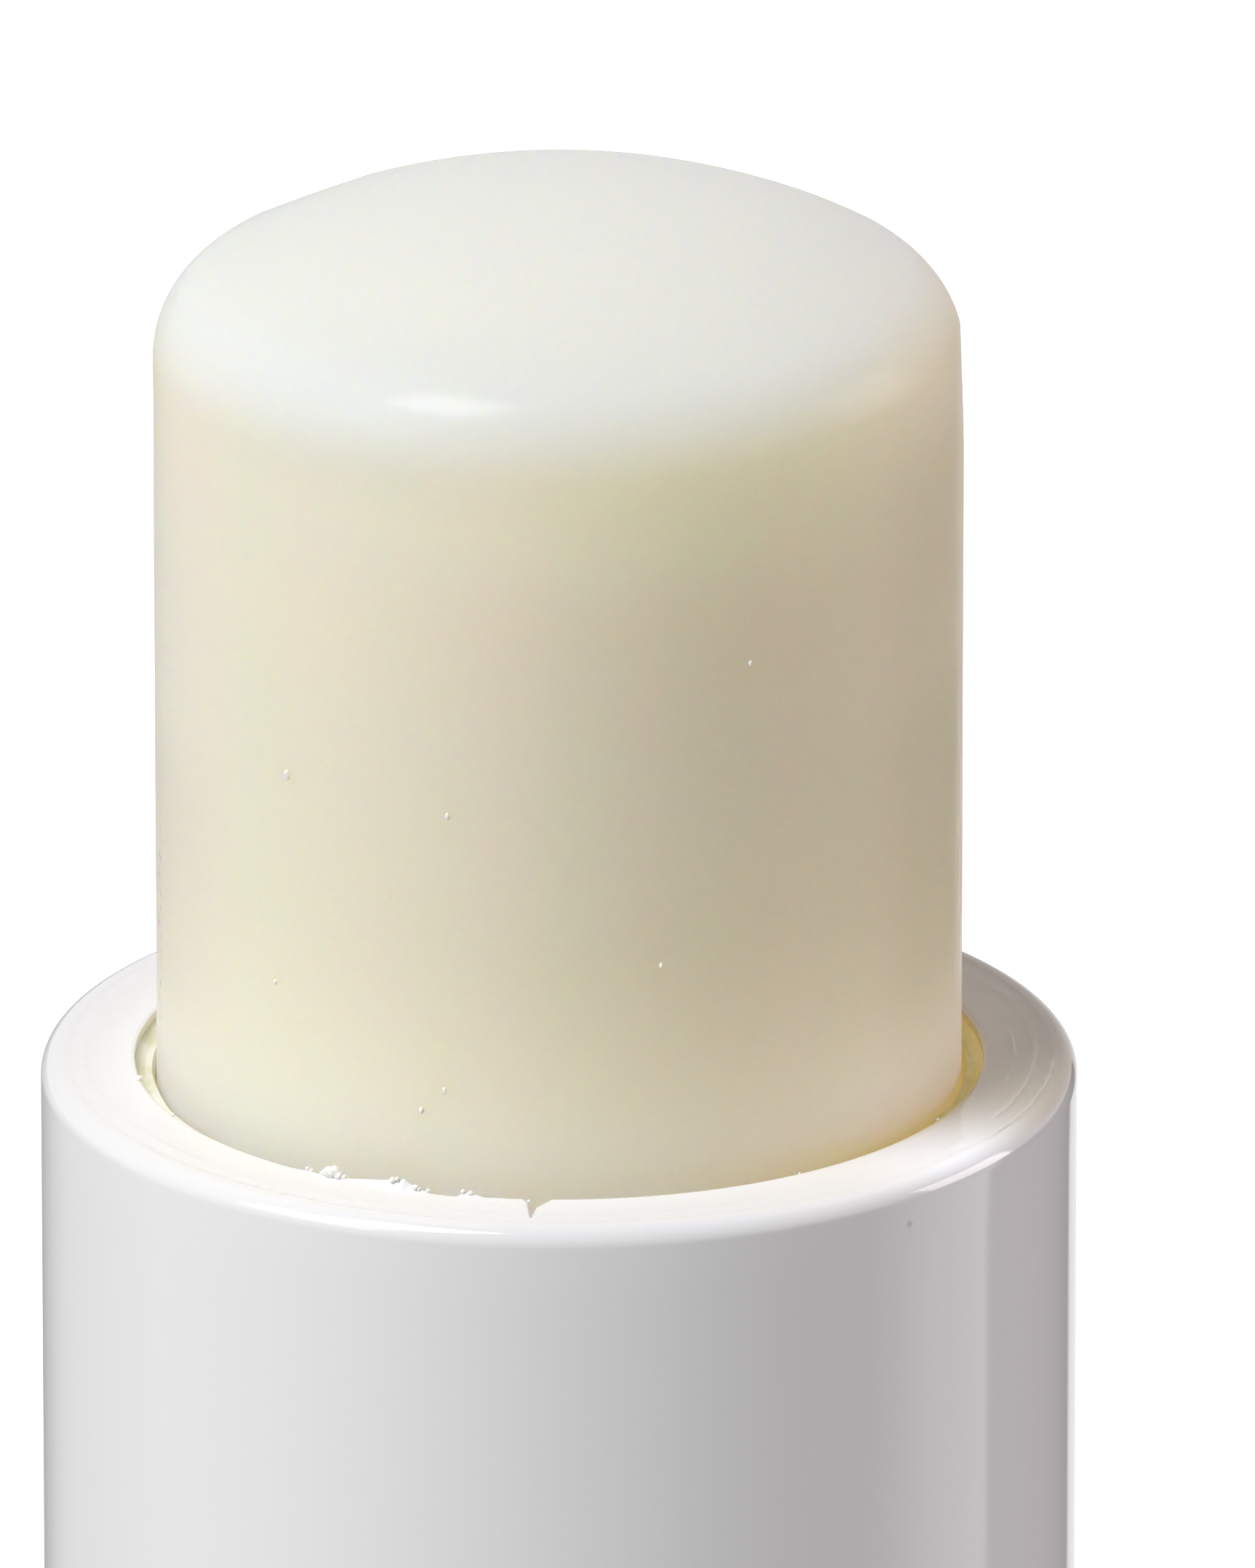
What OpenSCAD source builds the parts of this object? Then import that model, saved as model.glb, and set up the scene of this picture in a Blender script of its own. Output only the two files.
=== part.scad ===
// Twist-up lip balm stick, shown uncapped, with the bullet wound part of the way out.
// It stands on its thumb wheel. The origin is the centre of the wheel's foot and +Z points at the
// tip. A lead screw moulded with the wheel runs up inside the barrel. The elevator cup is keyed to
// the barrel, so it can't turn, and turning the wheel winds it and the bullet up or down.

/* [Balm bullet] */
// Diameter of the bullet
balm_d = 12.2; // [10:0.1:14]
// Whole length of the bullet, with its tail
balm_len = 42; // [38:0.5:44]
// Length of bullet that stands out of the rim
balm_out = 13.8; // [8:0.1:16]
// Radius of the shallow dome on the tip
dome_r = 11.25; // [9:0.05:20]
// Radius that blends the dome into the side
dome_edge_r = 1.5; // [0.5:0.1:2.5]
// Step from the side of the bullet in to its tail
tail_step = 0.65; // [0.6:0.05:1]
// Solid balm left above the hole for the lead screw
screw_hole_roof = 9; // [6:0.5:12]

/* [Barrel] */
// Height of the rim above the foot
rim_z = 60; // [57:0.5:63]
// Gap all round between the bullet and the bore
balm_gap = 0.33; // [0.2:0.01:0.5]
// Wall thickness of the neck
neck_wall = 1.42; // [1:0.02:2]
// Height of the neck above the shoulder that stops a cap
neck_h = 12; // [9:0.5:14]
// Width of the shoulder that stops a cap
shoulder_w = 0.85; // [0.5:0.05:1.2]
// Radius on the outer edge of the rim
rim_round = 0.3; // [0.1:0.05:0.6]
// Radius on the outer edges of the grip
grip_round = 0.25; // [0.1:0.05:0.5]
// Chamfer that leads the spigot into the barrel's lower end
lead_in = 0.3; // [0.1:0.05:0.5]
// Radius of the small bead that a cap snaps over
cap_bead_r = 0.6; // [0.3:0.05:1]
// How far the cap bead stands out of the neck
cap_bead_out = 0.12; // [0.05:0.01:0.2]
// Height of the cap bead above the shoulder
cap_bead_up = 2.6; // [1.5:0.1:4]

/* [Thumb wheel] */
// Height of the wheel
wheel_h = 7; // [6:0.5:9]
// Number of grip ribs round the wheel
rib_count = 30; // [20:2:40]
// Radius of one grip rib
rib_r = 0.45; // [0.3:0.05:0.6]
// How far the wheel's outside lies inside the grip's
wheel_inset = 0.1; // [0:0.05:0.3]
// Height of the plain band at the top of the wheel
band_h = 0.7; // [0.4:0.1:1.2]
// Height of the plain foot under the ribs
foot_h = 0.8; // [0.5:0.1:1.5]
// Radius on the lower edge of the foot
foot_round = 0.3; // [0.1:0.05:0.5]
// Wall thickness of the wheel, which is cored out from below
wheel_wall = 1.3; // [1:0.1:1.6]
// Thickness of the wheel's deck
deck_t = 1.4; // [1:0.1:2]
// Number of webs across the cored underside
web_count = 6; // [3:1:8]
// Thickness of one web
web_t = 0.9; // [0.6:0.1:1.2]
// How far the webs stay above the foot
web_up = 0.8; // [0.4:0.1:1.5]
// Radius of the hollow hub under the deck
hub_under_r = 3.1; // [2.8:0.1:3.6]
// Height of the spigot that snaps into the barrel
spigot_h = 4; // [3.5:0.25:5]
// Wall thickness of the spigot
spigot_wall = 1.2; // [0.8:0.1:1.5]
// Radius of the snap bead round the spigot
snap_r = 0.6; // [0.4:0.05:0.8]
// How far the snap bead stands out of the spigot
snap_out = 0.32; // [0.2:0.02:0.4]
// Height of the snap bead above the wheel's deck
snap_up = 2.4; // [1.8:0.1:2.6]

/* [Lead screw] */
// Travel for each turn of the wheel
lead = 3; // [2.6:0.1:4]
// Diameter of the screw's core
core_d = 3.4; // [3:0.1:3.8]
// Diameter over the screw's ridge
screw_d = 4.8; // [4.4:0.1:5.4]
// Width of the ridge at its crest
crest_w = 0.9; // [0.6:0.1:1.2]
// Slope of the ridge's flanks away from square
flank_deg = 22; // [10:1:30]
// Chamfer on the screw's tip
tip_chamfer = 0.6; // [0.3:0.1:1]
// Height of the flare at the screw's root
root_flare = 1.4; // [0.8:0.1:2]

/* [Elevator cup] */
// Height of the keyed skirt and the threaded hub
skirt_h = 5; // [4.6:0.1:6]
// Depth of the cup that holds the bullet's tail
cup_depth = 4.5; // [3:0.5:6]
// Thickness of the cup's floor
floor_t = 1.2; // [0.8:0.1:1.6]
// Wall thickness of the skirt
skirt_wall = 0.9; // [0.7:0.1:1.2]
// Wall thickness of the hub
hub_wall = 1.4; // [1:0.1:1.8]
// Number of keys that stop the cup from turning
key_count = 4; // [2:1:6]
// Width of one keyway in the barrel
keyway_w = 1.7; // [1.2:0.1:2.2]
// Depth of one keyway in the barrel
keyway_depth = 0.85; // [0.5:0.05:1]
// Height of one key
key_h = 3.2; // [2:0.2:4.4]
// Barrel wall left between the keyways' ends and the shoulder
keyway_roof = 1; // [0.5:0.1:2]
// Number of ribs in the cup that grip the tail
grip_rib_count = 6; // [3:1:12]
// Arc of one of the two lugs that ride in the screw, to each side of its middle
lug_half_arc = 50; // [30:5:60]

/* [Fits] */
// Gap between the wheel's deck and the barrel's lower end
wheel_gap = 0.25; // [0.1:0.05:0.4]
// Running clearance of the spigot in the bore, on the radius
spigot_clear = 0.08; // [0.04:0.01:0.1]
// Running clearance of the skirt in the bore, on the radius
skirt_clear = 0.1; // [0.06:0.01:0.15]
// Clearance round the snap bead in its groove
snap_clear = 0.15; // [0.1:0.01:0.2]
// Clearance of a key in its keyway
key_clear = 0.12; // [0.08:0.01:0.2]
// Clearance of a lug in the screw
lug_clear = 0.15; // [0.1:0.01:0.2]
// Clearance of the bullet's hole round the screw, on the radius
hole_clear = 0.3; // [0.2:0.05:0.5]
// Clearance of the tail in the cup, on the radius
tail_clear = 0.1; // [0.05:0.01:0.15]
// Gap left over the keys at the top of the cup's travel
stop_gap = 0.4; // [0.3:0.1:0.8]

/* [Hidden] */
$fn = 96;
// Facets of small rounds, such as ribs and edge fillets
small_fn = 32;

balm_r = balm_d / 2;
bore_r = balm_r + balm_gap;
neck_r = bore_r + neck_wall;
grip_r = neck_r + shoulder_w;
shoulder_z = rim_z - neck_h;
barrel_z = wheel_h + wheel_gap;

wheel_r = grip_r - wheel_inset;
rib_root_r = wheel_r - rib_r;
foot_r = rib_root_r + rib_r / 3;
spigot_r = bore_r - spigot_clear;
spigot_z = wheel_h + spigot_h;
snap_z = wheel_h + snap_up;
snap_x = spigot_r + snap_out - snap_r;

core_r = core_d / 2;
screw_r = screw_d / 2;
keyway_z = shoulder_z - keyway_roof;
keyway_r = bore_r + keyway_depth;
cup_top_stop = keyway_z - stop_gap - key_h;
screw_top = cup_top_stop + skirt_h + stop_gap;
ridge_low = wheel_h + spigot_h / 2;
ridge_top = screw_top - tip_chamfer - lead / 3;

// Rest height of the cup's lower edge: the bullet seats on its floor
balm_z = rim_z + balm_out - balm_len;
cup_z = balm_z - skirt_h;

skirt_r = bore_r - skirt_clear;
tail_r = balm_r - tail_step;
cup_in_r = tail_r + tail_clear;
hub_bore_r = screw_r + lug_clear;
hub_r = hub_bore_r + hub_wall;
lug_tip_r = core_r + lug_clear;
// The lugs sit opposite each other, half a lead apart in height
lug_high = (skirt_h + lead / 2) / 2;

// Tiny overlap that makes joined shapes one solid and cuts run clear
bite = 0.05;
// Depth to which ridges and lugs are rooted in the wall that carries them
root = 0.4;
// Largest turn between two sections of a ridge, in degrees
step_deg = 15;
// Turn over which the screw's ridge rises at each of its ends
fade_deg = 120;

// Half the width of the ridge at the radius r, along its flank
function ridge_half(r) = crest_w / 2 + (screw_r - r) * tan(flank_deg);

// Half the width of a lug at the radius r, parallel to the ridge's flanks
function lug_half(r) = lead / 2 - ridge_half(r) - lug_clear;

// One section of a left-hand helical ridge: radii r0 and r1, half widths h0 and h1, after the turn s
function helix_section(r0, r1, h0, h1, s) = [
    for (p = [[r0, -h0], [r0, h0], [r1, h1], [r1, -h1]])
        [p[0] * cos(s), -p[0] * sin(s), p[1] + lead * s / 360]];

// Height of the ridge after the turn s of a whole turn, from 0 at an end to 1
function faded(s, turn) = min(1, s / fade_deg, (turn - s) / fade_deg);

// Solid through a list of four-point sections
module sweep_sections(sections) {
    n = len(sections);
    points = [for (section = sections) for (p = section) p];
    sides = [for (i = [0:n - 2]) for (j = [0:3]) for (half = [0:1])
        let (a = 4 * i + j, b = 4 * i + (j + 1) % 4)
        half == 0 ? [a, b, b + 4] : [a, b + 4, a + 4]];
    last = 4 * (n - 1);
    ends = [[0, 3, 2], [0, 2, 1], [last, last + 1, last + 2], [last, last + 2, last + 3]];
    polyhedron(points = points, faces = concat(sides, ends));
}

// The screw's ridge, which rises out of the core and sinks back into it
module screw_ridge(height) {
    turn = 360 * height / lead;
    n = ceil(turn / step_deg);
    r0 = core_r - root;
    sweep_sections([for (i = [0:n])
        let (s = turn * i / n, r1 = core_r - bite + (screw_r - core_r + bite) * faded(s, turn))
        helix_section(r0, r1, ridge_half(r0), ridge_half(r1), s)]);
}

// One lug, centred on the +X side at the height 0
module screw_lug() {
    n = ceil(2 * lug_half_arc / step_deg);
    r1 = hub_bore_r + root;
    sweep_sections([for (i = [0:n])
        let (s = 2 * lug_half_arc * i / n - lug_half_arc)
        helix_section(lug_tip_r, r1, lug_half(lug_tip_r), lug_half(r1), s)]);
}

// Half section of a round band from the radius x0 to x1 and from z0 to z1, outer corners rounded
module band_section(x0, x1, z0, z1, low = 0, high = 0) {
    inner = max(low, high);
    translate([x0, z0]) square([x1 - x0 - inner, z1 - z0]);
    translate([x0, z0 + low]) square([x1 - x0, z1 - z0 - low - high]);
    if (low > 0) {
        translate([x1 - low, z0 + low]) circle(low, $fn = small_fn);
        translate([x0, z0]) square([x1 - x0 - low, low + bite]);
    }
    if (high > 0) {
        translate([x1 - high, z1 - high]) circle(high, $fn = small_fn);
        translate([x0, z1 - high - bite]) square([x1 - x0 - high, high + bite]);
    }
}

// Round ring between two radii and two heights
module ring(r_in, r_out, z0, z1) {
    translate([0, 0, z0]) difference() {
        cylinder(r = r_out, h = z1 - z0);
        translate([0, 0, -bite]) cylinder(r = r_in, h = z1 - z0 + 2 * bite);
    }
}

// Sectors of a ring of the radius r, each w wide, one for each key
module key_bars(r, w, z0, z1) {
    intersection() {
        translate([0, 0, z0]) cylinder(r = r, h = z1 - z0);
        for (i = [0:key_count - 1])
            rotate(360 * i / key_count + 180 / key_count)
                translate([bore_r - skirt_wall / 2, -w / 2, z0]) cube([r, w, z1 - z0]);
    }
}

module barrel() {
    color("whitesmoke") difference() {
        rotate_extrude() {
            band_section(bore_r, grip_r, barrel_z, shoulder_z, grip_round, grip_round);
            band_section(bore_r, neck_r, shoulder_z - neck_wall, rim_z, 0, rim_round);
            translate([neck_r + cap_bead_out - cap_bead_r, shoulder_z + cap_bead_up])
                circle(cap_bead_r, $fn = small_fn);
        }
        rotate_extrude() translate([snap_x, snap_z]) circle(snap_r + snap_clear, $fn = small_fn);
        translate([0, 0, barrel_z - bite])
            cylinder(r1 = bore_r + lead_in + bite, r2 = bore_r - bite, h = lead_in + 2 * bite);
        key_bars(keyway_r, keyway_w, barrel_z - bite, keyway_z);
    }
}

// Outside of the wheel, with its ribs, foot and top band
module wheel_shell() {
    translate([0, 0, foot_h - bite]) linear_extrude(wheel_h - foot_h - band_h + 2 * bite) {
        circle(rib_root_r);
        for (i = [0:rib_count - 1])
            rotate(360 * i / rib_count) translate([rib_root_r, 0]) circle(rib_r, $fn = small_fn);
    }
    rotate_extrude() {
        band_section(0, foot_r, 0, foot_h, foot_round, 0);
        band_section(0, wheel_r, wheel_h - band_h, wheel_h, 0, foot_round);
    }
}

// Core taken out of the wheel from below, which leaves a hollow hub and the webs that carry it
module wheel_core() {
    difference() {
        translate([0, 0, -bite]) cylinder(r = rib_root_r - wheel_wall, h = wheel_h - deck_t + bite);
        ring(hub_under_r - wheel_wall, hub_under_r, web_up, wheel_h);
        difference() {
            for (i = [0:web_count - 1])
                rotate(360 * i / web_count) translate([0, -web_t / 2, web_up]) cube([wheel_r, web_t, wheel_h]);
            cylinder(r = hub_under_r - wheel_wall / 2, h = wheel_h);
        }
    }
}

module screw_wheel() {
    color("white") {
        difference() {
            wheel_shell();
            wheel_core();
        }
        // Spigot with its snap bead, kept clear of the space round the screw
        rotate_extrude() difference() {
            union() {
                band_section(spigot_r - spigot_wall, spigot_r, wheel_h - bite, spigot_z, 0, lead_in);
                translate([snap_x, snap_z]) circle(snap_r, $fn = small_fn);
            }
            translate([0, wheel_h]) square([spigot_r - spigot_wall, spigot_h]);
        }
        // The screw's root flares into the deck, and its tip is chamfered
        rotate_extrude() polygon([
            [0, wheel_h - bite], [core_r + root_flare / 2, wheel_h - bite],
            [core_r, wheel_h + root_flare], [core_r, screw_top - tip_chamfer],
            [core_r - tip_chamfer, screw_top], [0, screw_top]]);
        // Turned so that the lugs lie midway between the ridge's turns at the cup's rest height
        translate([0, 0, ridge_low]) rotate(360 * (ridge_low - cup_z - lug_high + lead / 2) / lead)
            screw_ridge(ridge_top - ridge_low);
    }
}

module elevator_cup() {
    color("gainsboro") translate([0, 0, cup_z]) {
        ring(skirt_r - skirt_wall, skirt_r, 0, skirt_h);
        ring(hub_bore_r, skirt_r - bite, skirt_h - floor_t, skirt_h);
        ring(hub_bore_r, hub_r, 0, skirt_h - bite);
        ring(cup_in_r, skirt_r - skirt_clear, skirt_h - bite, skirt_h + cup_depth);
        difference() {
            key_bars(keyway_r - key_clear, keyway_w - 2 * key_clear, 0, key_h);
            translate([0, 0, -bite]) cylinder(r = skirt_r - skirt_wall, h = key_h + 2 * bite);
        }
        translate([0, 0, lug_high]) screw_lug();
        translate([0, 0, lug_high - lead / 2]) rotate(180) screw_lug();
        for (i = [0:grip_rib_count - 1])
            rotate(360 * i / grip_rib_count + 180 / key_count)
                translate([cup_in_r + tail_clear / 3, 0, skirt_h - bite])
                    cylinder(r = tail_clear, h = cup_depth, $fn = small_fn);
    }
}

// Half section of the bullet's outside: tail, straight side, rounded edge and dome
module bullet_section() {
    side_top = balm_len - dome_edge_r - dome_rise();
    edge_x = balm_r - dome_edge_r;
    square([tail_r, cup_depth + bite]);
    translate([0, cup_depth]) square([balm_r, side_top - cup_depth]);
    translate([edge_x, side_top]) circle(dome_edge_r);
    intersection() {
        translate([0, balm_len - dome_r]) circle(dome_r);
        translate([0, side_top - bite]) square([edge_x * dome_r / (dome_r - dome_edge_r), balm_len]);
    }
}

// Height from the top of the rounded edge's circle to the top of the dome
function dome_rise() = dome_r - dome_edge_r
    - sqrt(pow(dome_r - dome_edge_r, 2) - pow(balm_r - dome_edge_r, 2));

module balm() {
    color("palegoldenrod") translate([0, 0, balm_z]) difference() {
        rotate_extrude() bullet_section();
        translate([0, 0, -bite]) cylinder(r = screw_r + hole_clear, h = balm_len - screw_hole_roof + bite);
        translate([0, 0, balm_len - screw_hole_roof]) sphere(screw_r + hole_clear);
    }
}

barrel();
screw_wheel();
elevator_cup();
balm();
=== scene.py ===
import math

import bmesh
import bpy
from bpy.props import FloatProperty, FloatVectorProperty, IntProperty, PointerProperty
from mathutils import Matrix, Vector, noise


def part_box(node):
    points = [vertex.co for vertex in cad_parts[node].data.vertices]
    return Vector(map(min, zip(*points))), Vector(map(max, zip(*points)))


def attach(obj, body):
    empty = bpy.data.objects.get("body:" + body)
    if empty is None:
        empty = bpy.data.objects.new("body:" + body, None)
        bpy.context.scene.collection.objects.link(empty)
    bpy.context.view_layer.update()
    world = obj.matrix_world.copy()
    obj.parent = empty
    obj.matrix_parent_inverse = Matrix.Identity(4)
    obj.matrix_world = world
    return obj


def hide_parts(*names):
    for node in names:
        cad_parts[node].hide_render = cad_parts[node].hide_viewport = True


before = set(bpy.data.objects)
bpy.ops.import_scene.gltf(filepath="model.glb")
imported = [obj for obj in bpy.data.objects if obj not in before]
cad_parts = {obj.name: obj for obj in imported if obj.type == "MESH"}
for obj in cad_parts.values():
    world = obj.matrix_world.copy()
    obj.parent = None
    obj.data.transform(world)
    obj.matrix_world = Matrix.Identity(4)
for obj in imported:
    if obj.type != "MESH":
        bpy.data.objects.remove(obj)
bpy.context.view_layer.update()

bl_info = {
    "name": "Lip Balm Stick",
    "version": (1, 0, 0),
    "blender": (4, 5, 0),
    "location": "3D View > Sidebar > Balm Stick",
    "description": "Dresses the twist-up lip balm stick and sets its studio",
    "category": "Add Mesh",
}

# One millimetre in scene units
MM = 0.001


def cad_box(node):
    """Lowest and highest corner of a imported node, in millimetres."""
    low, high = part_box(node)
    return low / MM, high / MM


BALM_LOW, BALM_HIGH = cad_box("balm")
BARREL_LOW, BARREL_HIGH = cad_box("barrel")
WHEEL_LOW = cad_box("screw_wheel")[0]

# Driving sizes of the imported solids, in millimetres
BALM_R = BALM_HIGH.x
GRIP_R = BARREL_HIGH.x
RIM_Z = BARREL_HIGH.z
BALM_GAP = 0.33
NECK_WALL = 1.42
NECK_H = 12
WHEEL_H = 7
RIM_ROUND = 0.3
GRIP_ROUND = 0.25
LEAD_IN = 0.3
CAP_BEAD_R = 0.6
CAP_BEAD_OUT = 0.12
CAP_BEAD_UP = 2.6
KEY_COUNT = 4
KEYWAY_W = 1.7
KEYWAY_DEPTH = 0.85
KEYWAY_ROOF = 1
CUP_DEPTH = 4.5
TAIL_STEP = 0.65
DOME_R = 11.25
DOME_EDGE_R = 1.5
SCREW_HOLE_R = 2.7
SCREW_HOLE_ROOF = 9
SNAP_UP = 2.4
SNAP_R = 0.75
SNAP_X = 6.07

BORE_R = BALM_R + BALM_GAP
NECK_R = BORE_R + NECK_WALL
SHOULDER_Z = RIM_Z - NECK_H
BARREL_Z = BARREL_LOW.z

# The photograph's camera: a long lens that looks down at the rim
CAMERA_TILT = 19.4
CAMERA_DISTANCE = 444
CAMERA_TARGET = Vector((1.035, 0, RIM_Z + 4.3))

# Burrs and chips on the bore's edge at the rim: angle, then height above or below the rim
EDGE_BURRS = [
    (-38, 0), (-36, 0.02), (-35, 0.06), (-34.4, 0.01), (-32.6, 0.03), (-31.2, 0.05), (-29, 0.05),
    (-27, 0.08), (-24, 0.12), (-21.6, 0.16), (-21, 0.18), (-20.4, 0.13), (-19.8, 0.1), (-19, 0.02),
    (-18, 0.03), (-17.2, -0.01), (-15.4, -0.04), (-14, -0.05), (-13.4, -0.01), (-12.7, 0.07),
    (-11.8, 0.06), (-10.6, 0.03), (-9.9, 0), (-5, 0),
]
# The nick in the bore's edge: angle, then depth
EDGE_NICK = [
    (-5, 0), (-4.3, 0.05), (-3.95, 0.1), (-3.6, 0.23), (-3.25, 0.37), (-3, 0.25), (-2.7, 0.15),
    (-1.55, 0.07), (-0.5, 0),
]
# Scuffed ridges that stand on the rim: radius, first and last angle, height
RIM_RIDGES = [(6.89, 74, 100, 0.02), (7.2, 62, 98, 0.035), (7.5, 56, 90, 0.03), (7.2, -115, -45, 0.014),
              (7.42, -125, -20, -0.014), (7.34, -125, -20, -0.01), (7.5, -42, -12, 0.014),
              (7.2, -30, 30, 0.004), (7.42, 52, 92, -0.012)]
# How far the smeared balm in the gap lies below the rim
RESIDUE_DROP = 0.22

# How fast the nick's floor climbs away from the bore, and how wide a burr is
NICK_CLIMB = 0.4
BURR_W = 0.09

# Where the balm turns from its side's colour to the paler tip's: painted light, the lit top of the dome
# drawn paler than the side
TIP_LOW = BALM_HIGH.z - 2.8
TIP_HIGH = BALM_HIGH.z - 1.5
# Just below the dome, where the side is most even
UNDER_DOME = (BALM_HIGH.z - 4.4, BALM_HIGH.z - 2.2)
# Painted light and shade on the balm, as faint tints: darker and warmer on the shaded right side, darker at
# both edges just above the rim, and cooler bands high on the front and left: middle angle, half width, low
# and high edge, fade, tint
BALM_PAINTED_SHADING = [
    (-35, 75, BALM_HIGH.z - 3, BALM_HIGH.z - 1.2, 0.6, (0.9, 0.93, 1)),
    (65, 90, BALM_LOW.z - 2, BALM_HIGH.z - 3, 1, (1, 0.985, 0.92)),
    (74, 42, RIM_Z + 1.5, BALM_HIGH.z - 3, 1, (0.83, 0.85, 0.78)),
    (-82, 34, RIM_Z + 1.5, RIM_Z + 5.5, 0.8, (0.9, 0.91, 0.92)),
    (82, 52, RIM_Z + 1.5, RIM_Z + 6.5, 0.8, (0.89, 0.91, 0.92)),
    (20, 75, *UNDER_DOME, 0.8, (1.01, 1.06, 1.08)),
    (-40, 45, *UNDER_DOME, 0.8, (0.95, 0.98, 1.02)),
]
# The torn patch at the bullet's right edge, glossier and bumpy, with a painted highlight in its paler
# colour: middle angle, half width, low and high edge, fade
TORN_AND_HIGHLIGHT_PATCH = (84, 7, RIM_Z + 1.3, RIM_Z + 6.4, 0.5)
# The rubbed patch at the bullet's left edge
RUBBED_PATCH = (-81.5, 3.5, RIM_Z + 0.9, RIM_Z + 4, 0.6)
# Painted light and shade on the rim's flat top, as faint tints in the same order: darker at the left and
# back, a little darker at the front, and a painted lit patch at the right front
ON_TOP = (RIM_Z - 1, RIM_Z + 1, 0.2)
RIM_PAINTED_SHADING = [
    (-100, 80, *ON_TOP, (0.9, 0.9, 0.92)),
    (0, 55, *ON_TOP, (0.94, 0.945, 0.98)),
    (54, 18, *ON_TOP, (1.13, 1.15, 1.2)),
]

# Soft lights: name, angle, lift above the rim, size, tint
SOFT_LIGHTS = [
    ("key_light", -52, 62, (0.22, 0.22), (1, 1, 1)),
    ("side_light", -60, 36, (0.34, 0.34), (1, 1, 1)),
    ("fill_light", 101, 13, (0.3, 0.25), (1, 0.9, 0.91)),
]
LIGHT_DISTANCE = 0.6
# Radii between which the floor turns white
FLOOR_FADE = (150, 600)
# Radius, lowest and highest place of the wall that reflections see
TENT = (120, 0.5, 62)


def polar(radius, angle, height):
    """Point in scene units. The angle is in degrees, 0 at the front and growing to the right."""
    turn = math.radians(angle)
    return Vector((radius * math.sin(turn), -radius * math.cos(turn), height)) * MM


def steps(first, last, count):
    """Evenly spaced values from first to last, both included."""
    return [first + (last - first) * i / count for i in range(count + 1)]


def arc(centre_r, centre_z, radius, first, last, count):
    """Points of an arc in a half section. Angles are in degrees above the horizontal."""
    return [
        (centre_r + radius * math.cos(math.radians(a)), centre_z + radius * math.sin(math.radians(a)))
        for a in steps(first, last, count)
    ]


def along(table, place):
    """Value at a place in a table of (place, value) pairs, and 0 outside it."""
    for (a, value_a), (b, value_b) in zip(table, table[1:]):
        if a <= place <= b:
            return value_a + (value_b - value_a) * (place - a) / (b - a)
    return 0


def ease(low, high, value):
    """Smooth rise from 0 at low to 1 at high."""
    t = min(max((value - low) / (high - low), 0), 1)
    return t * t * (3 - 2 * t)


def link(piece):
    bpy.context.scene.collection.objects.link(piece)
    return piece


def settled(name, mesh, material, sharp=35):
    """Links a mesh as a smooth piece whose edges stay crisp above an angle."""
    mesh.materials.append(material)
    mesh.shade_smooth()
    mesh.set_sharp_from_angle(angle=math.radians(sharp))
    return link(bpy.data.objects.new(name, mesh))


def lathe(name, outline, angles, material, shape=None, closed=False):
    """Turns an outline of (radius, height) pairs round the axis. shape may move each point."""
    mesh = bpy.data.meshes.new(name)
    points = []
    for radius, height in outline:
        for angle in angles:
            place = Vector((radius, height)) if shape is None else shape(radius, height, angle)
            points.append(polar(place[0], angle, place[1]) if len(place) == 2 else place * MM)
    count = len(angles)
    rows = len(outline) if closed else len(outline) - 1
    faces = []
    for row in range(rows):
        upper = (row + 1) % len(outline)
        for column in range(count):
            right = (column + 1) % count
            faces.append((row * count + column, row * count + right,
                          upper * count + right, upper * count + column))
    mesh.from_pydata(points, [], faces)
    work = bmesh.new()
    work.from_mesh(mesh)
    bmesh.ops.remove_doubles(work, verts=work.verts, dist=0.0002 * MM)
    bmesh.ops.recalc_face_normals(work, faces=work.faces)
    work.to_mesh(mesh)
    work.free()
    return settled(name, mesh, material)


def even_angles(count):
    return [360 * i / count - 180 for i in range(count)]


def add(tree, kind, inputs=None, **settings):
    """Adds a node, with its settings and its inputs as values or links."""
    made = tree.nodes.new(kind)
    for name, value in settings.items():
        setattr(made, name, value)
    for name, value in (inputs or {}).items():
        if isinstance(value, bpy.types.NodeSocket):
            tree.links.new(value, made.inputs[name])
        else:
            made.inputs[name].default_value = value
    return made


def calc(tree, operation, *values):
    """Output of a math node over one to three values or sockets."""
    return add(tree, "ShaderNodeMath", dict(enumerate(values)), operation=operation).outputs[0]


def blend_colour(tree, factor, a, b, mode="MIX"):
    """Output of a colour mix node."""
    made = add(tree, "ShaderNodeMix", data_type="RGBA", blend_type=mode)
    for place, value in ((0, factor), (6, a), (7, b)):
        if isinstance(value, bpy.types.NodeSocket):
            tree.links.new(value, made.inputs[place])
        else:
            made.inputs[place].default_value = value
    return made.outputs[2]


def rise(tree, value, low, high, to_low=0, to_high=1):
    """Smooth step of a value from low to high."""
    return add(tree, "ShaderNodeMapRange", {
        "Value": value, "From Min": low, "From Max": high, "To Min": to_low, "To Max": to_high,
    }, interpolation_type="SMOOTHSTEP").outputs["Result"]


def rise_straight(tree, value, low, high, to_low=0, to_high=1):
    """Even slope of a value from low to high."""
    return add(tree, "ShaderNodeMapRange", {
        "Value": value, "From Min": low, "From Max": high, "To Min": to_low, "To Max": to_high,
    }).outputs["Result"]


def noise_at(tree, vector, scale, detail=3, roughness=0.5):
    """Noise whose features are about 1 / scale millimetres across."""
    return add(tree, "ShaderNodeTexNoise", {
        "Vector": vector, "Scale": scale, "Detail": detail, "Roughness": roughness,
    }).outputs["Fac"]


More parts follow.
